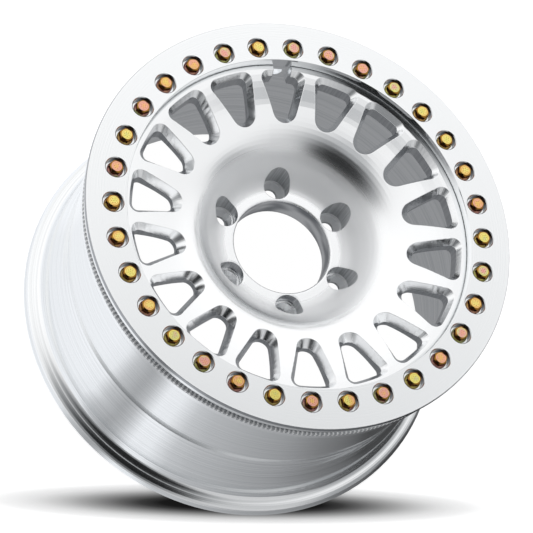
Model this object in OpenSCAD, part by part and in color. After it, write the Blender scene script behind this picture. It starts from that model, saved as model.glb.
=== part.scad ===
// Beadlock wheel, 17 x 9 inch: one-piece centre and barrel, bolted clamping ring, 32 flange bolts.
// Millimetres. Z is the wheel axis and +Z the outboard face. Z = 0 is the hub mounting face.
// The wheel lies on the edge of its inboard flange.

/* [Rim] */
// Outermost radius of the inboard flange
flange_radius = 236; // [200:0.5:260]
// Distance from the hub mounting face back to the inboard flange edge
backspace = 152.4; // [100:0.1:180]
// Radius of the inboard bead seat
seat_radius = 218.5; // [190:0.5:240]
// Outer radius of the plain barrel
barrel_radius = 213.6; // [180:0.1:230]
// Outer radius of the shallow well
well_radius = 211; // [180:0.5:230]
// Radius of the inside of the barrel
inner_radius = 205; // [170:0.5:220]
// Radius of the fillet between the inside of the barrel and the back of the web
web_fillet = 40; // [10:1:60]
// Height of the back of the web above the hub mounting face
web_back_height = 63; // [50:0.5:68]

/* [Hub] */
// Radius of the hub bore
bore_radius = 53.1; // [30:0.1:70]
// Outer radius of the hub mounting face
mount_radius = 87; // [70:0.5:110]
// Height of the front pad above the mounting face
pad_height = 27.7; // [15:0.1:50]
// Outer radius of the flat front pad
pad_radius = 66; // [55:0.5:80]
// Edge chamfer of the bore
bore_chamfer = 1.2; // [0.2:0.1:3]

/* [Lug holes] */
// Number of lug holes
lug_count = 6; // [4:1:8]
// Diameter of the lug hole circle
lug_circle = 139.7; // [100:0.1:200]
// Radius of the socket pocket
pocket_radius = 14.5; // [10:0.1:20]
// Height of the ledge at the bottom of the pocket
ledge_height = 12; // [5:0.1:25]
// Radius where the ledge meets the conical seat
cone_radius = 12.3; // [8:0.1:16]
// Radius of the through hole
lug_hole_radius = 7.75; // [5:0.05:10]

/* [Windows] */
// Number of windows
window_count = 18; // [6:1:30]
// Angle of the first window, which has the valve notch
window_phase = -8.5; // [-20:0.5:20]
// Distance from the edge of the pilot in to the outer wall
window_inset = 9.5; // [6:0.1:20]
// Radius of the inner tip
window_tip = 131; // [110:0.5:150]
// Slope of a side wall against the window's centre line
window_slope = 0.31; // [0.2:0.005:0.4]
// Radius of the rounded tip
tip_radius = 9.4; // [4:0.1:14]
// Radius of the outer corners
corner_radius = 6; // [2:0.1:12]
// Growth of the mouth at the outer wall
mouth_growth_outer = 4.3; // [1:0.1:8]
// Growth of the mouth at the inner tip
mouth_growth_tip = 8.5; // [1:0.1:12]
// Radius of the rounded tip of the mouth
mouth_tip_radius = 13.5; // [4:0.1:18]
// Radius of the outer corners of the mouth
mouth_corner_radius = 9.5; // [2:0.1:15]
// Height of the bevel's lower edge at the outer wall
bevel_outer_height = 75.5; // [60:0.1:85]
// Height of the bevel's lower edge at the tip
bevel_tip_height = 65; // [50:0.1:80]

/* [Ring] */
// Outer radius of the ring, which the bolts, the pilot, the bead ledge and the windows follow
ring_outer = 230.5; // [210:0.1:245]
// Width of the ring from its outer edge to its bore
ring_width = 43.8; // [38:0.1:50]
// Height of the ring's front face
ring_face = 94; // [80:0.5:100]
// Height of the joint face between the ring and the wheel
joint_face = 79.5; // [70:0.5:90]
// Clearance between the ring's bore and the wheel's pilot
pilot_clearance = 0.5; // [0.1:0.1:2]
// Height of the pilot above the joint face
pilot_rise = 2.2; // [1:0.1:6]
// Height of the lower edge of the ring's outer wall above the joint face
heel_rise = 3.5; // [1:0.1:8]
// Draw-in of the ring's outer wall at its lower edge
heel_taper = 1.5; // [0:0.1:4]
// Distance from the ring's outer edge in to its flat clamping face
clamp_inset = 4; // [2:0.1:10]

/* [Bead ledge] */
// Distance from the ring's outer edge in to the shoulder that centres the tyre's bead
register_inset = 12; // [8:0.5:20]
// Height of the ledge that the bead is clamped on, without its serrations
ledge_face = 69.4; // [60:0.1:76]
// Distance from the ring's outer edge in to the edge of the ledge
ledge_inset = 6.1; // [3:0.1:12]
// Drop from the ledge to the top of the flange's wall
ledge_chamfer = 0.9; // [0.5:0.1:4]
// Distance from the ring's outer edge in to the wall of the flange under the ledge
flange_inset = 4.5; // [1:0.1:10]
// Height of that flange from its lower edge to the ledge
flange_depth = 12.1; // [8:0.1:20]

/* [Bolts] */
// Number of ring bolts
bolt_count = 32; // [16:1:40]
// Distance from the ring's outer edge in to the bolt circle
bolt_inset = 29.5; // [26:0.1:32]
// Radius of the counterbore in the ring
counterbore_radius = 11; // [9:0.1:13]
// Depth of the counterbore
counterbore_depth = 6; // [3:0.1:9]
// Chamfer at the mouth of the counterbore
counterbore_chamfer = 0.8; // [0.2:0.1:2]
// Radius of the clearance hole in the ring
clearance_radius = 4.5; // [4:0.1:6]
// Radius of the bolt's shank
shank_radius = 4; // [3:0.1:6]
// Length of the bolt under its head
bolt_length = 25; // [16:1:40]
// Radius of the bolt's flange
head_flange_radius = 8.6; // [7:0.1:10]
// Thickness of the bolt's flange at its edge
head_flange_edge = 0.9; // [0.5:0.1:3]
// Width across the flats of the head
across_flats = 13; // [10:0.5:15]
// Height of the head
head_height = 8; // [5:0.1:10]
// Radius of the flat on top of the head
head_top_radius = 5.3; // [4:0.1:6]

/* [Valve] */
// Half width of the valve notch
notch_half_width = 10; // [7:0.5:13]
// Radius of the notch's inner corners
notch_corner = 6; // [1:0.5:7]
// Distance that the notch is cut into the ring's seat
notch_reach = 3.8; // [1:0.1:6]
// Radius of the valve hole
valve_radius = 5.75; // [3:0.05:8]
// Height at which the axis of the valve hole leaves the notch
valve_height = 65; // [50:0.5:75]

/* [Hidden] */
seat_back = -backspace + 18.4;
flange_round = 2;
bevel_reach = 1.7;
flange_land = 8;
side_steps = 6;
knee = [82, 42];
ring_inner = ring_outer - ring_width;
pilot_radius = ring_inner - pilot_clearance;
pilot_height = joint_face + pilot_rise;
register_radius = ring_outer - register_inset;
ledge_radius = ring_outer - ledge_inset;
ledge_wall = ring_outer - flange_inset;
ledge_foot = ledge_face - flange_depth;
bolt_radius = ring_outer - bolt_inset;
counterbore_floor = ring_face - counterbore_depth;
window_outer = pilot_radius - window_inset;
mouth_outer = window_outer + mouth_growth_outer;
mouth_tip = window_tip - mouth_growth_tip;
window_step = 360 / window_count;
notch_end = pilot_radius + notch_reach;
insert_radius = 5.6;
insert_length = 16;
insert_clearance = 0.05;
hex_corner = across_flats / 2 / cos(30);

// Points of a cubic curve from a to d
function curve(a, b, c, d, n) =
    [for (i = [0:n]) let (t = i / n, s = 1 - t)
        s * s * s * a + 3 * s * s * t * b + 3 * s * t * t * c + t * t * t * d];

// Points of an arc about c from angle a0 to a1
function arc(c, r, a0, a1, n) =
    [for (i = [0:n]) let (a = a0 + (a1 - a0) * i / n) c + r * [cos(a), sin(a)]];

// The front of the centre, from the pad out to the pilot under the ring
function dish_front() = concat(
    curve([pad_radius, pad_height], [pad_radius + 7, pad_height],
        knee - [4.5, 5.4], knee, 8),
    curve(knee, knee + [24.4, 29.1], [pilot_radius - 57.2, pilot_height - 1.6],
        [pilot_radius - 2.2, pilot_height + 0.1], 20));

// The back of the centre, from the fillet in the barrel in to the mounting face
function web_back() = concat(
    arc([inner_radius - web_fillet, web_back_height - web_fillet], web_fillet, 0, 90, 12),
    curve([inner_radius - web_fillet - 7, web_back_height], [mount_radius + 41, web_back_height - 1],
        [mount_radius + 17, web_back_height - 17], [mount_radius + 3, 3], 12));

// The outside, from the joint face over the bead ledge and its flange to the barrel
function bead_ledge() = concat(
    [[register_radius - 0.5, joint_face], [register_radius, joint_face - 0.5]],
    [[register_radius, ledge_face], [ledge_radius, ledge_face]],
    [[ledge_wall, ledge_face - ledge_chamfer]],
    arc([ledge_wall - 1, ledge_foot + 1], 1, 0, -60, 3),
    curve([barrel_radius + 6, ledge_foot - 3.4], [barrel_radius + 2, ledge_foot - 5.6],
        [barrel_radius, ledge_foot - 9], [barrel_radius, ledge_foot - 17], 5));

// The outside of the barrel, from the waist back to the edge of the inboard flange
function barrel_outside() = concat(
    [[barrel_radius, -30], [barrel_radius - 0.7, -42], [well_radius + 0.2, -55]],
    [[well_radius, -62], [well_radius, -76], [well_radius + 0.5, -84]],
    [[barrel_radius - 0.6, -92]],
    curve([barrel_radius - 0.6, -92.3], [seat_radius - 3, -98],
        [seat_radius - 1.4, -103], [seat_radius - 0.9, -109], 6),
    [[seat_radius + 0.2, seat_back + 11]],
    curve([seat_radius + 0.6, seat_back + 7], [seat_radius + 1.5, seat_back + 1.5],
        [flange_radius - 14.5, seat_back - 1.5], [flange_radius - 9, seat_back - 4], 8),
    curve([flange_radius - flange_land, seat_back - 4.4], [flange_radius - 3.4, seat_back - 6.4],
        [flange_radius, seat_back - 10.5], [flange_radius, seat_back - 14.5], 6),
    arc([flange_radius - flange_round, -backspace + flange_round], flange_round, 0, -90, 4));

// The inside of the barrel, from the edge of the inboard flange in to the web
function barrel_inside() = [
    [flange_radius - flange_land, -backspace],
    [flange_radius - flange_land - flange_round, -backspace + flange_round / 2],
    [seat_radius - 5, seat_back - 4],
    [seat_radius - 7, seat_back + 4],
    [inner_radius + 0.6, -94],
    [inner_radius, -88]];

function wheel_outline() = concat(
    [[bore_radius, bore_chamfer], [bore_radius, pad_height - bore_chamfer]],
    [[bore_radius + bore_chamfer, pad_height]],
    dish_front(),
    [[pilot_radius - 0.4, pilot_height], [pilot_radius, pilot_height - 0.4]],
    [[pilot_radius, joint_face]],
    bead_ledge(),
    barrel_outside(),
    barrel_inside(),
    web_back(),
    [[mount_radius + 1, 0.6], [mount_radius, 0], [bore_radius + bore_chamfer, 0]]);

// Centre of a corner: on the circle of radius r and on the line v = window_slope * u + b
function corner_centre(r, b) =
    let (m = window_slope,
        u = (-m * b + sqrt(r * r * (1 + m * m) - b * b)) / (1 + m * m))
    [u, m * u + b];

// Points between a and b, without a itself
function run(a, b, n) = [for (i = [1:n]) a + (b - a) * i / n];

// Plan of a window about the X axis: a tip of radius rt that starts at r_tip, straight
// sides tangent to it in n steps, corners of radius rc and an outer wall of radius r_out
function window_plan(r_tip, r_out, rt, rc, n) =
    let (tilt = atan(window_slope),
        tip = [r_tip + rt, 0],
        side = rt / cos(tilt) - window_slope * tip[0],
        corner = corner_centre(r_out - rc, side - rc / cos(tilt)),
        wall = atan2(corner[1], corner[0]),
        tip_arc = arc(tip, rt, 90 + tilt, 270 - tilt, 18),
        low_arc = arc([corner[0], -corner[1]], rc, -90 - tilt, -wall, 9),
        high_arc = arc(corner, rc, wall, 90 + tilt, 9))
    concat(
        tip_arc,
        run(tip_arc[18], low_arc[0], n),
        [for (i = [1:9]) low_arc[i]],
        arc([0, 0], r_out, -wall * 2 / 3, wall * 2 / 3, 4),
        high_arc,
        [for (i = [1:n - 1]) high_arc[9] + (tip_arc[0] - high_arc[9]) * i / n]);

// Height of the front of the centre at radius r
front_table = dish_front();
function front_height(r) = lookup(r, front_table);

// Bevel of one window: it widens from the upright walls to the mouth on the front
module bevel_cutter() {
    low = window_plan(window_tip, window_outer, tip_radius, corner_radius, side_steps);
    top = window_plan(mouth_tip, mouth_outer, mouth_tip_radius, mouth_corner_radius, side_steps);
    n = len(low);
    fall = (bevel_outer_height - bevel_tip_height) / (window_outer - window_tip);
    edge = [for (p = low) [p[0], p[1], bevel_outer_height - fall * (window_outer - p[0])]];
    rim = [for (i = [0:n - 1])
        let (m = [top[i][0], top[i][1], front_height(norm(top[i]))])
        edge[i] + bevel_reach * (m - edge[i])];
    middle = [(window_tip + window_outer) / 2, 0, ring_face + 5];
    polyhedron(concat(edge, rim, [middle]), concat(
        [[for (i = [0:n - 1]) i]],
        [for (i = [0:n - 1]) let (k = (i + 1) % n) [i, n + i, n + k]],
        [for (i = [0:n - 1]) let (k = (i + 1) % n) [i, n + k, k]],
        [for (i = [0:n - 1]) let (k = (i + 1) % n) [n + i, 2 * n, n + k]]));
}

module window_cutter() {
    linear_extrude(ring_face)
        polygon(window_plan(window_tip, window_outer, tip_radius, corner_radius, 1));
    bevel_cutter();
}

module lug_cutter() {
    rotate_extrude($fn = 48) polygon([
        [0, -1],
        [lug_hole_radius + 0.8, -1],
        [lug_hole_radius + 0.8, 0],
        [lug_hole_radius, 0.8],
        [lug_hole_radius, ledge_height - (cone_radius - lug_hole_radius) / tan(30)],
        [cone_radius, ledge_height],
        [pocket_radius - 0.6, ledge_height],
        [pocket_radius, ledge_height + 0.6],
        [pocket_radius, 70],
        [0, 70]]);
}

// Notch with rounded inner corners for the valve's head, and the slanted hole for its stem
module valve_cutter() {
    inner = notch_half_width - notch_corner;
    translate([0, 0, web_back_height - 40]) linear_extrude(ring_face) polygon(concat(
        [[window_outer - 4, notch_half_width], [window_outer - 4, -notch_half_width]],
        arc([notch_end - notch_corner, -inner], notch_corner, -90, 0, 8),
        arc([notch_end - notch_corner, inner], notch_corner, 0, 90, 8)));
    translate([notch_end - 2, 0, valve_height]) rotate([0, 135, 0])
        cylinder(r = valve_radius, h = web_fillet + 5, $fn = 48);
}

module at_bolts() {
    for (i = [0:bolt_count - 1])
        rotate([0, 0, i * 360 / bolt_count]) translate([bolt_radius, 0, 0]) children();
}

module wheel() {
    color("#c9cbce")
    difference() {
        rotate_extrude($fn = 180) polygon(wheel_outline());
        for (i = [0:window_count - 1])
            rotate([0, 0, window_phase + i * window_step]) window_cutter();
        for (i = [0:lug_count - 1])
            rotate([0, 0, window_phase + i * 360 / lug_count])
                translate([lug_circle / 2, 0, 0]) lug_cutter();
        rotate([0, 0, window_phase]) valve_cutter();
        at_bolts() translate([0, 0, joint_face - insert_length - 4])
            cylinder(r = insert_radius + insert_clearance, h = insert_length + 5, $fn = 32);
    }
}

module beadlock_ring() {
    color("#d9dadc")
    difference() {
        rotate_extrude($fn = 180) polygon(concat(
            [[ring_inner, joint_face + 0.3], [ring_inner, ring_face - 0.3]],
            [[ring_inner + 0.3, ring_face]],
            curve([ring_outer - 0.9, ring_face], [ring_outer - 0.2, ring_face],
                [ring_outer, ring_face - 1.4], [ring_outer, ring_face - 3.5], 5),
            [[ring_outer - heel_taper, joint_face + heel_rise]],
            [[ring_outer - clamp_inset, joint_face], [ring_inner + 0.3, joint_face]]));
        at_bolts() rotate_extrude($fn = 48) polygon([
            [0, joint_face - 1],
            [clearance_radius, joint_face - 1],
            [clearance_radius, counterbore_floor],
            [counterbore_radius, counterbore_floor],
            [counterbore_radius, ring_face - counterbore_chamfer],
            [counterbore_radius + counterbore_chamfer, ring_face],
            [counterbore_radius + counterbore_chamfer, ring_face + 1],
            [0, ring_face + 1]]);
    }
}

module flange_bolt() {
    under = counterbore_floor;
    top = under + head_height;
    intersection() {
        translate([0, 0, under]) cylinder(r = hex_corner, h = head_height, $fn = 6);
        rotate_extrude($fn = 48) polygon([
            [0, under],
            [hex_corner + 1, under],
            [hex_corner + 1, top - (hex_corner + 1 - head_top_radius) * tan(30)],
            [head_top_radius, top],
            [0, top]]);
    }
    rotate_extrude($fn = 48) polygon([
        [0, under - bolt_length],
        [shank_radius - 0.8, under - bolt_length],
        [shank_radius, under - bolt_length + 0.8],
        [shank_radius, under],
        [head_flange_radius - 0.2, under],
        [head_flange_radius, under + 0.2],
        [head_flange_radius, under + head_flange_edge],
        [hex_corner * 0.9, under + head_flange_edge + 1.2],
        [0, under + head_flange_edge + 1.2]]);
}

module ring_bolts() {
    color("#c8a860") at_bolts() flange_bolt();
}

module thread_inserts() {
    color("#8d9094")
    at_bolts() difference() {
        translate([0, 0, joint_face - insert_length - 0.5])
            cylinder(r = insert_radius, h = insert_length, $fn = 32);
        translate([0, 0, joint_face - insert_length - 1])
            cylinder(r = shank_radius + insert_clearance, h = insert_length + 2, $fn = 32);
    }
}

wheel();
beadlock_ring();
ring_bolts();
thread_inserts();
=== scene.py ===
import math

import bpy
from mathutils import Matrix


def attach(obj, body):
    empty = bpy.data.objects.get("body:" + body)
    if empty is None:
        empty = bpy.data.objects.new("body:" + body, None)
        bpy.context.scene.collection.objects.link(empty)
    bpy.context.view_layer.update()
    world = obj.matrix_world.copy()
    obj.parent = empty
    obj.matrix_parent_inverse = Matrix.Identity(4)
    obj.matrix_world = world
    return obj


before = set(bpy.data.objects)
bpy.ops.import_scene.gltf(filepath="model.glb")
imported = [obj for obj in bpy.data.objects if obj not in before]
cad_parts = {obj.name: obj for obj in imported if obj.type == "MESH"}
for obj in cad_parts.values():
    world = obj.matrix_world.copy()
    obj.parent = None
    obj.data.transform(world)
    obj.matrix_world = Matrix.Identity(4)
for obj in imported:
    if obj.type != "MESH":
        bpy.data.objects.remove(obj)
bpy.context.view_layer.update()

# The camera stands where the photograph was taken from: 2.9 m from the middle of the ring and 32
# degrees off the wheel's axis, with a long lens. Its place and its axes were found from the bolts
# and the inboard flange.
BOLT_PLANE = 0.091
BOLT_CIRCLE = 0.201
RIGHT = (-0.227396427, -0.924621938, 0.305557091)
DOWN = (-0.910358829, 0.090440791, -0.403815881)
AHEAD = (0.345742197, -0.369992884, -0.862303658)
# The middle of the bolt circle as the camera sees it, along those axes, in bolt circle radii.
MIDDLE = (0.178589, -0.231510, 14.248934)
SENSOR, LENS = 36, 187.68
FARTHEST = 50
camera_data = bpy.data.cameras.new("camera")
camera = bpy.data.objects.new("camera", camera_data)
bpy.context.scene.collection.objects.link(camera)
stand = [
    -BOLT_CIRCLE * (RIGHT[i] * MIDDLE[0] + DOWN[i] * MIDDLE[1] + AHEAD[i] * MIDDLE[2])
    for i in range(3)
]
stand[2] += BOLT_PLANE
camera.matrix_world = Matrix(
    [[RIGHT[i], -DOWN[i], -AHEAD[i], stand[i]] for i in range(3)] + [[0, 0, 0, 1]]
)
camera_data.sensor_width = SENSOR
camera_data.lens = LENS
camera_data.clip_end = FARTHEST
bpy.context.scene.camera = camera
bpy.context.scene.view_settings.view_transform = "Standard"

# The studio: a pale tent, brighter on one side, with greyer and darker patches. Polished metal
# shows them, and they were fitted to what the photograph's dish reflects. The camera sees white.
TENT = (0.632, 0.636, 0.642, 1)
# The azimuth and the angle from straight up of each patch, how far from there it is whole and
# where it is gone, all in degrees, and its strength.
PATCHES = (
    (-2, 99.6, 65.5, 127.7, 1.084),
    (260, 37, 0, 38.5, 0.928),
    (129, 64, 0, 42.6, 0.242),
    (113, 40, 0, 30.1, 0.208),
    (145, 36, 9.5, 31.5, 0.31),
    (137, 44, 16.0, 31.0, 0.015),
    (133, 13, 0.1, 11.7, 0.474),
    (302, 22, 0.5, 9.5, 0.5),
    (234, 83, 8, 32, 0.36),
)
# How much bluer than white a black patch is.
COOLNESS = 0.08


def node(tree, kind, settings=(), stops=(), **links):
    """Adds a node, sets what settings names, fills a colour ramp, and links or sets the inputs."""
    made = tree.nodes.new(kind)
    for key, value in dict(settings).items():
        setattr(made, key, value)
    for k, (place, colour) in enumerate(stops):
        steps = made.color_ramp.elements
        step = steps[k] if k < 2 else steps.new(1.0)
        step.position = place
        step.color = colour
    for key, value in links.items():
        key = key.replace("_", " ")
        key = int(key[1:]) if key[0] == "i" and key[1:].isdigit() else key
        socket = made.inputs[key]
        if isinstance(value, bpy.types.NodeSocket):
            tree.links.new(value, socket)
        else:
            socket.default_value = value
    return made


world = bpy.data.worlds.new("studio")
bpy.context.scene.world = world
world.use_nodes = True
sky = world.node_tree
sky.nodes.clear()
ray = node(sky, "ShaderNodeTexCoord").outputs["Generated"]
tent = TENT
for azimuth, polar, whole, gone, grey in PATCHES:
    a, p = math.radians(azimuth), math.radians(polar)
    aim = (math.cos(a) * math.sin(p), math.sin(a) * math.sin(p), math.cos(p))
    along = node(sky, "ShaderNodeVectorMath", {"operation": "DOT_PRODUCT"}, i0=ray, i1=aim)
    part = node(
        sky, "ShaderNodeMapRange", {"interpolation_type": "SMOOTHSTEP"},
        Value=along.outputs["Value"],
        From_Min=math.cos(math.radians(gone)), From_Max=math.cos(math.radians(whole)),
    ).outputs["Result"]
    cool = COOLNESS * max(0, 1 - grey)
    patch = (grey, grey * (1 + cool / 2), grey * (1 + cool), 1)
    tent = node(
        sky, "ShaderNodeMix", {"data_type": "RGBA"}, i0=part, i6=tent, i7=patch
    ).outputs[2]
seen = node(sky, "ShaderNodeLightPath").outputs["Is Camera Ray"]
light = node(sky, "ShaderNodeBackground", Color=tent, Strength=1.0).outputs[0]
white = node(sky, "ShaderNodeBackground", Color=(1, 1, 1, 1), Strength=1.0).outputs[0]
both = node(sky, "ShaderNodeMixShader", i0=seen, i1=light, i2=white).outputs[0]
node(sky, "ShaderNodeOutputWorld", Surface=both)

# The floor: a sheet of matt white paper that the wheel lies on, on the edge of its inboard flange.
# Polished metal sees grey and black cards laid round the wheel on it, and a grey card inside the
# barrel, matched to what the photograph's barrel and windows reflect.
FLOOR = -0.1524
FLOOR_HALF = 9
PAPER = "#E7E7E7"
# Where the paper in the barrel ends and the paper round the wheel starts.
INSIDE_TO, OUTSIDE_FROM = 0.215, 0.236
INSIDE_CARD = (0.30, 0.305, 0.315, 1)
# The cards round the wheel: azimuth in degrees and grey, and the cool tint that all of them have.
CARDS = (
    (0, 1.0), (50, 1.0), (58, 0.93), (104, 0.95), (111, 0.90), (116, 0.58), (123, 0.40),
    (127, 0.52), (132, 0.93), (138, 0.90), (145, 0.60), (152, 0.50), (166, 0.41), (180, 0.33),
    (193, 0.22), (206, 0.14), (213, 0.07), (228, 0.06), (245, 0.25), (290, 0.7), (360, 1.0),
)
CARD_TINT = (1.0, 1.02, 1.05)
# The photograph's soft shadow, painted on the paper: an oval under the side of the wheel nearest
# the camera, 0.30 m and 23 mm from its middle to its ends. Each half axis is given as its
# direction over its length, and the greys run from the middle out to the edge.
SHADOW_AT = (-0.2192, 0.0407, FLOOR)
SHADOW_LONG, SHADOW_SHORT = (-0.78, -3.24, 0), (-43.31, 6.44, 0)
SHADOW = (
    (0.0, 0.004), (0.30, 0.010), (0.38, 0.042), (0.45, 0.113), (0.52, 0.22), (0.60, 0.365),
    (0.67, 0.516), (0.75, 0.665), (0.83, 0.765), (0.87, 0.80), (1.0, 1.0),
)
# The glow that brings the lit paper up to the white round it.
LIFT = 0.65


def linear(code):
    """An sRGB hex colour as the linear colour that Blender works in."""
    parts = [int(code[i : i + 2], 16) / 255 for i in (1, 3, 5)]
    parts = [p / 12.92 if p <= 0.04045 else ((p + 0.055) / 1.055) ** 2.4 for p in parts]
    return (*parts, 1)


floor_mesh = bpy.data.meshes.new("floor")
floor_mesh.from_pydata(
    [(x * FLOOR_HALF, y * FLOOR_HALF, FLOOR) for x, y in ((-1, -1), (1, -1), (1, 1), (-1, 1))],
    [], [(0, 1, 2, 3)],
)
floor = bpy.data.objects.new("floor", floor_mesh)
bpy.context.scene.collection.objects.link(floor)
sheet = bpy.data.materials.new("white_sheet")
sheet.use_nodes = True
floor_mesh.materials.append(sheet)
tree = sheet.node_tree
tree.nodes.clear()
point = node(tree, "ShaderNodeNewGeometry").outputs["Position"]
where = node(tree, "ShaderNodeSeparateXYZ", i0=point)
flat = node(tree, "ShaderNodeCombineXYZ", i0=where.outputs[0], i1=where.outputs[1]).outputs[0]
radius = node(tree, "ShaderNodeVectorMath", {"operation": "LENGTH"}, i0=flat).outputs["Value"]
inside = node(
    tree, "ShaderNodeMapRange", {"interpolation_type": "SMOOTHSTEP"},
    Value=radius, From_Min=INSIDE_TO, From_Max=OUTSIDE_FROM, To_Min=1.0, To_Max=0.0,
).outputs["Result"]
angle = node(
    tree, "ShaderNodeMath", {"operation": "ARCTAN2"}, i0=where.outputs[1], i1=where.outputs[0]
).outputs[0]
turn = node(tree, "ShaderNodeMath", {"operation": "DIVIDE"}, i0=angle, i1=math.tau).outputs[0]
turn = node(tree, "ShaderNodeMath", {"operation": "FRACT"}, i0=turn).outputs[0]
cards = node(
    tree, "ShaderNodeValToRGB", i0=turn,
    stops=[(at / 360, (*(grey * part for part in CARD_TINT), 1)) for at, grey in CARDS],
).outputs[0]
around = node(tree, "ShaderNodeEmission", Color=cards, Strength=1.0).outputs[0]
within = node(tree, "ShaderNodeEmission", Color=INSIDE_CARD, Strength=1.0).outputs[0]
metal_sees = node(tree, "ShaderNodeMixShader", i0=inside, i1=around, i2=within).outputs[0]
from_shadow = node(
    tree, "ShaderNodeVectorMath", {"operation": "SUBTRACT"}, i0=point, i1=SHADOW_AT
).outputs["Vector"]
along = node(
    tree, "ShaderNodeVectorMath", {"operation": "DOT_PRODUCT"}, i0=from_shadow, i1=SHADOW_LONG
).outputs["Value"]
across = node(
    tree, "ShaderNodeVectorMath", {"operation": "DOT_PRODUCT"}, i0=from_shadow, i1=SHADOW_SHORT
).outputs["Value"]
oval = node(tree, "ShaderNodeCombineXYZ", i0=along, i1=across).outputs[0]
oval = node(tree, "ShaderNodeVectorMath", {"operation": "LENGTH"}, i0=oval).outputs["Value"]
lit = node(
    tree, "ShaderNodeValToRGB", i0=oval, stops=[(at, (grey, grey, grey, 1)) for at, grey in SHADOW]
).outputs[0]
lift = node(tree, "ShaderNodeEmission", Color=lit, Strength=LIFT).outputs[0]
pale = node(
    tree, "ShaderNodeMix", {"data_type": "RGBA", "blend_type": "MULTIPLY"},
    i0=1.0, i6=lit, i7=linear(PAPER),
).outputs[2]
shaded = node(tree, "ShaderNodeBsdfDiffuse", Color=pale).outputs[0]
raised = node(tree, "ShaderNodeAddShader", i0=shaded, i1=lift).outputs[0]
bright = node(tree, "ShaderNodeEmission", Color=(1, 1, 1, 1), Strength=1.0).outputs[0]
camera_sees = node(tree, "ShaderNodeMixShader", i0=inside, i1=raised, i2=bright).outputs[0]
paper = node(tree, "ShaderNodeBsdfDiffuse", Color=linear(PAPER)).outputs[0]
paths = node(tree, "ShaderNodeLightPath").outputs
others = node(
    tree, "ShaderNodeMixShader", i0=paths["Is Glossy Ray"], i1=paper, i2=metal_sees
).outputs[0]
shown = node(
    tree, "ShaderNodeMixShader", i0=paths["Is Camera Ray"], i1=others, i2=camera_sees
).outputs[0]
node(tree, "ShaderNodeOutputMaterial", Surface=shown)

# The wheel: one aluminium forging, turned all over on a lathe and left bare. Its windows and lug
# pockets are cut by an end mill, and the hub bore is bored last.

# Each zone of a finish is given by where it starts and where it is whole. Radii, reaches from a
# lug hole and heights are in metres, and a slope is the height of the surface's normal.
BORE = (0.0595, 0.0585)
PAD_EDGE = (0.062, 0.068)
FILLET, FILLET_SHINE = (0.106, 0.086), (0.092, 0.086)
DISH, DISH_EASED = (0.130, 0.110), (0.122, 0.112)
WEB_INNER, WEB_OUTER = (0.0600, 0.0605), (0.182, 0.181)
BEVEL_INNER, BEVEL_SLOPE = (0.0900, 0.0920), (0.77, 0.73)
BARREL, BARREL_MARKED = (0.181, 0.186), (0.183, 0.186)
WALL_SLOPE = (0.3, 0.1)
POCKET, OFF_POCKET = (0.0150, 0.0149), (0.0150, 0.0160)
LUGS, FIRST_LUG, LUG_CIRCLE = 6, -8.5, 0.06985
# The tool marks, in marks per metre: 1.9 mm between turning marks and 1.6 mm between streaks.
# Real ones are a few tenths of a millimetre, and are drawn that much coarser to show.
TURNING_MARKS, MILL_STREAKS = 520.0, 620.0
# The values of the noise between which each kind of mark, and the bore's painted shade, fades in.
TURNING_EDGE, STREAK_EDGE, BORE_EDGE = (0.3, 0.7), (0.35, 0.65), (0.65, 0.35)
# The bore's patches of painted shade: 17 mm high, and 45 mm long round the bore.
BORE_SHADE_PATCHES, BORE_SHADE_RISE = 1.3, 45.0
# How far edges are eased, so that the turned front reflects as one smooth curve.
EASED, EASED_IN_DISH = 0.0009, 0.0031


def finish_material(name):
    """A new material without nodes, and its node tree."""
    made = bpy.data.materials.new(name)
    made.use_nodes = True
    made.node_tree.nodes.clear()
    return made, made.node_tree


def cover(node_name, material):
    """Gives a CAD node's object a material."""
    for place_of in bpy.data.objects[node_name].material_slots:
        place_of.material = material


def lathe_place(tree):
    """Where a point lies for the lathe: angle about the axis, radius and height."""
    at = node(tree, "ShaderNodeTexCoord").outputs["Object"]
    xyz = node(tree, "ShaderNodeSeparateXYZ", i0=at).outputs
    level = node(tree, "ShaderNodeCombineXYZ", i0=xyz[0], i1=xyz[1]).outputs[0]
    radius = node(tree, "ShaderNodeVectorMath", {"operation": "LENGTH"}, i0=level)
    turned = node(tree, "ShaderNodeMath", {"operation": "ARCTAN2"}, i0=xyz[1], i1=xyz[0])
    return turned.outputs[0], radius.outputs["Value"], xyz[2]


def beside(tree, turned, radius, count, start, circle):
    """Which of count like features on a circle a point is nearest to, and its place from it."""
    turns = node(
        tree, "ShaderNodeMath", {"operation": "MULTIPLY_ADD"},
        i0=turned, i1=count / math.tau, i2=-math.radians(start) * count / math.tau,
    ).outputs[0]
    which = node(tree, "ShaderNodeMath", {"operation": "ROUND"}, i0=turns).outputs[0]
    off = node(tree, "ShaderNodeMath", {"operation": "SUBTRACT"}, i0=turns, i1=which).outputs[0]
    off = node(
        tree, "ShaderNodeMath", {"operation": "MULTIPLY"}, i0=off, i1=math.tau / count
    ).outputs[0]
    cosine = node(tree, "ShaderNodeMath", {"operation": "COSINE"}, i0=off).outputs[0]
    sine = node(tree, "ShaderNodeMath", {"operation": "SINE"}, i0=off).outputs[0]
    outward = node(
        tree, "ShaderNodeMath", {"operation": "MULTIPLY_ADD"}, i0=cosine, i1=radius, i2=-circle
    ).outputs[0]
    sideways = node(
        tree, "ShaderNodeMath", {"operation": "MULTIPLY"}, i0=sine, i1=radius
    ).outputs[0]
    return which, node(tree, "ShaderNodeCombineXYZ", i0=outward, i1=sideways).outputs[0]


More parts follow.
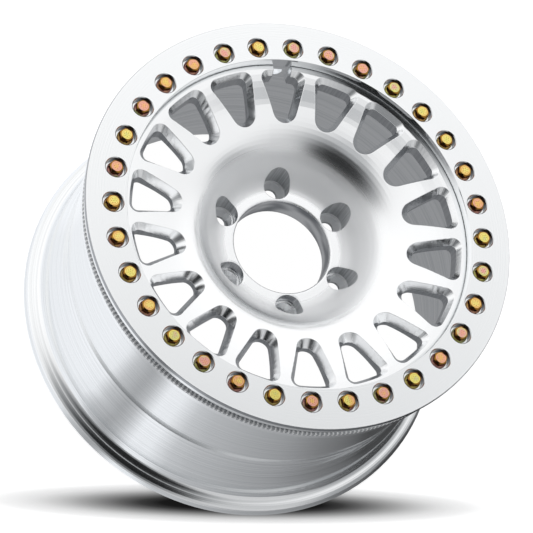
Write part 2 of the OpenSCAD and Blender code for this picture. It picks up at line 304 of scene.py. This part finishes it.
def zone(tree, *limits):
    """1 where every limit is met. A limit is a zone, or a value, where it starts and is whole."""
    parts = []
    for limit in limits:
        if not isinstance(limit, bpy.types.NodeSocket):
            value, start, whole = limit
            limit = node(
                tree, "ShaderNodeMapRange", {"interpolation_type": "SMOOTHSTEP"}, Value=value,
                From_Min=min(start, whole), From_Max=max(start, whole),
                To_Min=float(start > whole), To_Max=float(start < whole),
            ).outputs["Result"]
        parts.append(limit)
    product = parts[0]
    for part in parts[1:]:
        product = node(
            tree, "ShaderNodeMath", {"operation": "MULTIPLY"}, i0=product, i1=part
        ).outputs[0]
    return product


def coloured(tree, colour, *coats):
    """Lays colours over a first one, each within its zone."""
    for part, code in coats:
        colour = node(
            tree, "ShaderNodeMix", {"data_type": "RGBA"}, i0=part, i6=colour, i7=linear(code)
        ).outputs[2]
    return colour


def varied(tree, amount, *changes):
    """An amount that changes by so much within each zone."""
    for part, change in changes:
        amount = node(
            tree, "ShaderNodeMath", {"operation": "MULTIPLY_ADD"}, i0=part, i1=change, i2=amount
        ).outputs[0]
    return amount


# Turned aluminium: bright and a little cool, with a reflection drawn out across the fine marks
# that run round it. Matched to the photograph, and not typical of bare metal: the walls of
# windows, pockets and bore are grey with painted shade, and the milky fillet round the hub pad is
# less metallic.
aluminium, tree = finish_material("turned_aluminium")
turned, radius, height = lathe_place(tree)
coords = node(tree, "ShaderNodeTexCoord").outputs
slope = node(tree, "ShaderNodeSeparateXYZ", i0=coords["Normal"]).outputs[2]
slope = node(tree, "ShaderNodeMath", {"operation": "ABSOLUTE"}, i0=slope).outputs[0]
upright = zone(tree, (slope, *WALL_SLOPE))
lug_place = beside(tree, turned, radius, LUGS, FIRST_LUG, LUG_CIRCLE)[1]
lug_reach = node(
    tree, "ShaderNodeVectorMath", {"operation": "LENGTH"}, i0=lug_place
).outputs["Value"]
web_wall = zone(tree, (radius, *WEB_INNER), (radius, *WEB_OUTER), upright)
pocket_wall = zone(tree, (lug_reach, *POCKET), upright)
bore_wall = zone(tree, (radius, *BORE), upright)
bevel = zone(tree, (radius, *BEVEL_INNER), (radius, *WEB_OUTER), (slope, *BEVEL_SLOPE))
section = node(tree, "ShaderNodeCombineXYZ", i0=radius, i1=height).outputs[0]
turning = node(
    tree, "ShaderNodeTexNoise", {"noise_dimensions": "2D"},
    Vector=section, Scale=TURNING_MARKS, Detail=3.0,
).outputs[0]
milling = node(
    tree, "ShaderNodeTexNoise", {"noise_dimensions": "2D"},
    Vector=coords["Object"], Scale=MILL_STREAKS, Detail=2.0,
).outputs[0]
# Dark grey patches of painted shade on the bore wall.
bore_height = node(
    tree, "ShaderNodeMath", {"operation": "MULTIPLY"}, i0=height, i1=BORE_SHADE_RISE
).outputs[0]
unrolled = node(tree, "ShaderNodeCombineXYZ", i0=turned, i1=bore_height).outputs[0]
bore_shade = node(
    tree, "ShaderNodeTexNoise", {"noise_dimensions": "3D"},
    Vector=unrolled, Scale=BORE_SHADE_PATCHES, Detail=1.0,
).outputs[0]
# The walls of windows and pockets are painted grey as painted shade, with the end mill's lighter
# streaks on it.
colour = coloured(
    tree, linear("#F8F9FA"),
    (zone(tree, (radius, *BARREL_MARKED), (turning, *TURNING_EDGE)), "#E9EBEC"),
    (web_wall, "#B4B6B9"),
    (zone(tree, web_wall, (milling, *STREAK_EDGE)), "#C6C8CA"),
    (pocket_wall, "#C6C8CA"),
    (zone(tree, pocket_wall, (milling, *STREAK_EDGE)), "#DEE0E2"),
    (zone(tree, bore_wall, (bore_shade, *BORE_EDGE)), "#9DA0A4"),
)
rough = varied(
    tree, 0.11,
    (zone(tree, (radius, *BARREL)), 0.03),
    (zone(tree, (radius, *PAD_EDGE), (radius, *FILLET)), 0.38),
    (web_wall, 0.10),
    (zone(tree, (radius, *PAD_EDGE), (radius, *DISH)), 0.08),
    (pocket_wall, 0.12),
    (bevel, 0.08),
)
metallic = varied(
    tree, 1.0, (zone(tree, (radius, *PAD_EDGE), (radius, *FILLET_SHINE)), -0.6)
)
easing = varied(
    tree, EASED,
    (zone(tree, (radius, *DISH_EASED), (lug_reach, *OFF_POCKET)), EASED_IN_DISH - EASED),
)
eased = node(tree, "ShaderNodeBevel", {"samples": 6}, Radius=easing).outputs[0]
tangent = node(
    tree, "ShaderNodeTangent", {"direction_type": "RADIAL", "axis": "Z"}
).outputs[0]
metal = node(
    tree, "ShaderNodeBsdfPrincipled", Base_Color=colour, Metallic=metallic, Roughness=rough,
    Anisotropic=0.4, Tangent=tangent, Normal=eased,
).outputs[0]
node(tree, "ShaderNodeOutputMaterial", Surface=metal)
cover("wheel", aluminium)

# The serrations of the bead ledge: radial ribs milled into the wheel, which grip the tyre's bead.
# They show in the gap under the ring, and are laid on the ledge as one piece.

# The ribs are 0.6 mm high. They run a little way down the wall under the ledge's edge, so that
# they show below the ring as they do in the photograph.
RIBS = 300
RIB_INNER, RIB_EDGE, RIB_OUTER = 0.2187, 0.2244, 0.22603
LEDGE, LEDGE_EDGE, RIB_DROP = 0.0694, 0.0685, 0.0032
RIB_RISE, RIB_PROUD, RIB_CLEAR = 0.0006, 0.0003, 0.00003
# Across a rib: place, in ribs, and whether it is on the rib's crest.
RIB_ACROSS = ((-0.5, 0), (-0.27, 0), (-0.2, 1), (0.2, 1), (0.27, 0))
# Along a rib: radius, height of its foot, and how far the crest stands up and out.
RIB_ALONG = (
    (RIB_INNER, LEDGE, RIB_RISE, 0.0),
    (RIB_EDGE, LEDGE, RIB_RISE, 0.0),
    (RIB_OUTER, LEDGE_EDGE, RIB_RISE, RIB_PROUD),
    (RIB_OUTER, LEDGE_EDGE - RIB_DROP, 0.0, RIB_PROUD),
)
# Where the painted shade between ribs starts and is whole, from the middle of a rib.
RIB_GAP_SHADE = (0.0009, 0.0012)
points, faces = [], []
for rib in range(RIBS):
    for side, crest in RIB_ACROSS:
        at = (rib + side) * 2 * math.pi / RIBS
        for reach, foot, rise, proud in RIB_ALONG:
            out = reach + proud * crest
            up = foot + RIB_CLEAR + rise * crest
            points.append((out * math.cos(at), out * math.sin(at), up))
along = len(RIB_ALONG)
rows = len(points) // along
for row in range(rows):
    this, after = along * row, along * ((row + 1) % rows)
    faces += [(this + k, this + k + 1, after + k + 1, after + k) for k in range(along - 1)]
ribs_mesh = bpy.data.meshes.new("bead_serrations")
ribs_mesh.from_pydata(points, [], faces)
serrations = bpy.data.objects.new("bead_serrations", ribs_mesh)
bpy.context.scene.collection.objects.link(serrations)
# Milled aluminium: a dull, pale grey, with painted shade between the ribs. It is less metallic
# than bare metal is, so that the crests stay as pale in the ring's shade as the photograph shows
# them.
milled, tree = finish_material("milled_aluminium")
turned, radius = lathe_place(tree)[:2]
rib_place = beside(tree, turned, radius, RIBS, 0, RIB_EDGE)[1]
off_rib = node(tree, "ShaderNodeSeparateXYZ", i0=rib_place).outputs[1]
off_rib = node(tree, "ShaderNodeMath", {"operation": "ABSOLUTE"}, i0=off_rib).outputs[0]
# Pale crests, with painted shade between the ribs.
colour = coloured(tree, linear("#F4F5F6"), (zone(tree, (off_rib, *RIB_GAP_SHADE)), "#B4B6B9"))
metal = node(
    tree, "ShaderNodeBsdfPrincipled", Base_Color=colour, Metallic=0.4, Roughness=0.42
).outputs[0]
node(tree, "ShaderNodeOutputMaterial", Surface=metal)
ribs_mesh.materials.append(milled)
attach(serrations, "root")

# The beadlock ring: aluminium plate, faced on a lathe and left bare, with 32 counterbored holes
# for the bolts that hold it on the wheel.
BOLTS = 32
# Zones as for the wheel.
COUNTERBORE = (0.0121, 0.0119)
CHAMFER_SLOPE = (0.9, 0.6)
FACE_SLOPE = (0.90, 0.98)
EDGE_RADIUS, EDGE_HEIGHT, EDGE_SLOPE = (0.2290, 0.2296), (0.0890, 0.0905), (0.97, 0.9)
# Marks per metre of radius: 0.7 mm apart, coarser than the real 0.1 to 0.2 mm, so that they show.
FACING_MARKS = 1500.0
# Faced aluminium: near white, with fine rings round the axis that draw its reflection out. The
# counterbores' chamfers are grey and their walls near black, and the outer edge is grey: painted
# shade, to match the photograph, which is darker there than this studio makes bare metal.
faced, tree = finish_material("faced_aluminium")
turned, radius, height = lathe_place(tree)
normal = node(tree, "ShaderNodeTexCoord").outputs["Normal"]
slope = node(tree, "ShaderNodeSeparateXYZ", i0=normal).outputs[2]
facing_marks = node(
    tree, "ShaderNodeTexNoise", {"noise_dimensions": "1D"}, W=radius, Scale=FACING_MARKS, Detail=3.0
).outputs[0]
bolt_place = beside(tree, turned, radius, BOLTS, 0, BOLT_CIRCLE)[1]
bolt_reach = node(
    tree, "ShaderNodeVectorMath", {"operation": "LENGTH"}, i0=bolt_place
).outputs["Value"]
hole = zone(tree, (bolt_reach, *COUNTERBORE))
edge = zone(tree, (radius, *EDGE_RADIUS), (height, *EDGE_HEIGHT), (slope, *EDGE_SLOPE))
# The counterbores' grey chamfers and near black walls, and the grey outer edge, are painted shade.
colour = coloured(
    tree, linear("#F9FAFB"),
    (zone(tree, (facing_marks, *TURNING_EDGE)), "#EEF0F1"),
    (zone(tree, hole, (slope, *CHAMFER_SLOPE)), "#C4C6C8"),
    (zone(tree, hole, (slope, *WALL_SLOPE)), "#303236"),
    (edge, "#A3A5A8"),
)
rough = varied(tree, 0.10, (zone(tree, (slope, *FACE_SLOPE)), 0.07))
tangent = node(
    tree, "ShaderNodeTangent", {"direction_type": "RADIAL", "axis": "Z"}
).outputs[0]
metal = node(
    tree, "ShaderNodeBsdfPrincipled", Base_Color=colour, Metallic=1.0, Roughness=rough,
    Anisotropic=0.4, Tangent=tangent,
).outputs[0]
node(tree, "ShaderNodeOutputMaterial", Surface=metal)
cover("beadlock_ring", faced)

# The ring bolts: forged steel hexagon flange bolts, zinc plated and yellow passivated. They hold
# the ring, one in each counterbore.

# Heights on a bolt's head between which a finish fades in.
ABOVE_FLANGE, FLANGE_TOP = (0.0899, 0.0902), (0.0900, 0.0903)
BELOW_CHAMFER, BELOW_TOP = (0.0954, 0.0949), (0.09594, 0.09588)
HEAD_TOP = (0.09590, 0.09597)
# The mark on a head: a ring, and dots on a circle and in the middle. It is only coloured.
MARK_RING_INNER, MARK_RING_OUTER = (0.0039, 0.0041), (0.0045, 0.0043)
MARK_DOTS, DOT_CIRCLE, DOT = 6, 0.0024, (0.0007, 0.0005)
# The film: its clouds are 6 mm wide, and its colour runs on from the middle of a head out to the
# flange's edge.
FILM_CLOUDS, CLOUD_DRIFT = 160.0, 0.55
HEAD_REACH, OUTWARD_DRIFT = 0.0086, 0.42
FILM = (
    (0.0, "#FBEB8C"), (0.22, "#F6C878"), (0.4, "#F6B49C"), (0.58, "#F0B0AE"), (0.74, "#DDE29C"),
    (0.88, "#F0EA80"), (1.0, "#FBEB8C"),
)
# Yellow passivated zinc: a thin clear film over bright zinc, so each bolt shows its own mix of
# yellow, pink and green. The flats and chamfer are amber to brown: the film's amber, darkened with
# painted shade. The flange is duller and less metallic than the head, as the photograph shows it.
plating, tree = finish_material("yellow_passivated_zinc")
turned, radius, height = lathe_place(tree)
bolt, bolt_place = beside(tree, turned, radius, BOLTS, 0, BOLT_CIRCLE)
bolt_reach = node(
    tree, "ShaderNodeVectorMath", {"operation": "LENGTH"}, i0=bolt_place
).outputs["Value"]
bolt_seed = node(
    tree, "ShaderNodeTexWhiteNoise", {"noise_dimensions": "1D"}, W=bolt
).outputs["Value"]
apart = node(tree, "ShaderNodeCombineXYZ", i2=bolt_seed).outputs[0]
film_place = node(
    tree, "ShaderNodeVectorMath", {"operation": "ADD"}, i0=bolt_place, i1=apart
).outputs[0]
cloud = node(
    tree, "ShaderNodeTexNoise", Vector=film_place, Scale=FILM_CLOUDS, Detail=1.0
).outputs[0]
film = node(
    tree, "ShaderNodeMapRange", Value=bolt_reach,
    From_Min=0.0, From_Max=HEAD_REACH, To_Min=0.0, To_Max=OUTWARD_DRIFT,
).outputs["Result"]
film = node(tree, "ShaderNodeMath", {"operation": "ADD"}, i0=film, i1=bolt_seed).outputs[0]
film = node(
    tree, "ShaderNodeMath", {"operation": "MULTIPLY_ADD"}, i0=cloud, i1=CLOUD_DRIFT, i2=film
).outputs[0]
film = node(tree, "ShaderNodeMath", {"operation": "FRACT"}, i0=film).outputs[0]
tint = node(
    tree, "ShaderNodeValToRGB", i0=film, stops=[(at, linear(code)) for at, code in FILM]
).outputs[0]
bolt_xy = node(tree, "ShaderNodeSeparateXYZ", i0=bolt_place).outputs
bolt_turned = node(
    tree, "ShaderNodeMath", {"operation": "ARCTAN2"}, i0=bolt_xy[1], i1=bolt_xy[0]
).outputs[0]
dot_place = beside(tree, bolt_turned, bolt_reach, MARK_DOTS, 0, DOT_CIRCLE)[1]
dot_reach = node(
    tree, "ShaderNodeVectorMath", {"operation": "LENGTH"}, i0=dot_place
).outputs["Value"]
top = zone(tree, (height, *HEAD_TOP))
head = zone(tree, (height, *ABOVE_FLANGE))
mark_ring = zone(tree, top, (bolt_reach, *MARK_RING_INNER), (bolt_reach, *MARK_RING_OUTER))
# The chamfer amber and the flats brown: the film's amber with painted shade; then the head's mark.
colour = coloured(
    tree, tint,
    (zone(tree, head, (height, *BELOW_TOP)), "#A87C34"),
    (zone(tree, head, (height, *BELOW_CHAMFER)), "#8A5428"),
    (mark_ring, "#B98B45"),
    (zone(tree, top, (dot_reach, *DOT)), "#B07A3C"),
    (zone(tree, top, (bolt_reach, *DOT)), "#B07A3C"),
)
off_flange = zone(tree, (height, *FLANGE_TOP))
rough = varied(tree, 0.34, (off_flange, -0.25))
metallic = varied(tree, 0.6, (off_flange, 0.4))
metal = node(
    tree, "ShaderNodeBsdfPrincipled", Base_Color=colour, Metallic=metallic, Roughness=rough
).outputs[0]
node(tree, "ShaderNodeOutputMaterial", Surface=metal)
cover("ring_bolts", plating)

# The thread inserts: turned stainless steel sleeves, screwed into the wheel under the ring. They
# take the bolts' threads and can't be seen.

# Stainless steel: a plain, slightly dull grey metal.
stainless, tree = finish_material("stainless_steel")
metal = node(
    tree, "ShaderNodeBsdfPrincipled", Base_Color=linear("#B9BABC"), Metallic=1.0, Roughness=0.35
).outputs[0]
node(tree, "ShaderNodeOutputMaterial", Surface=metal)
cover("thread_inserts", stainless)
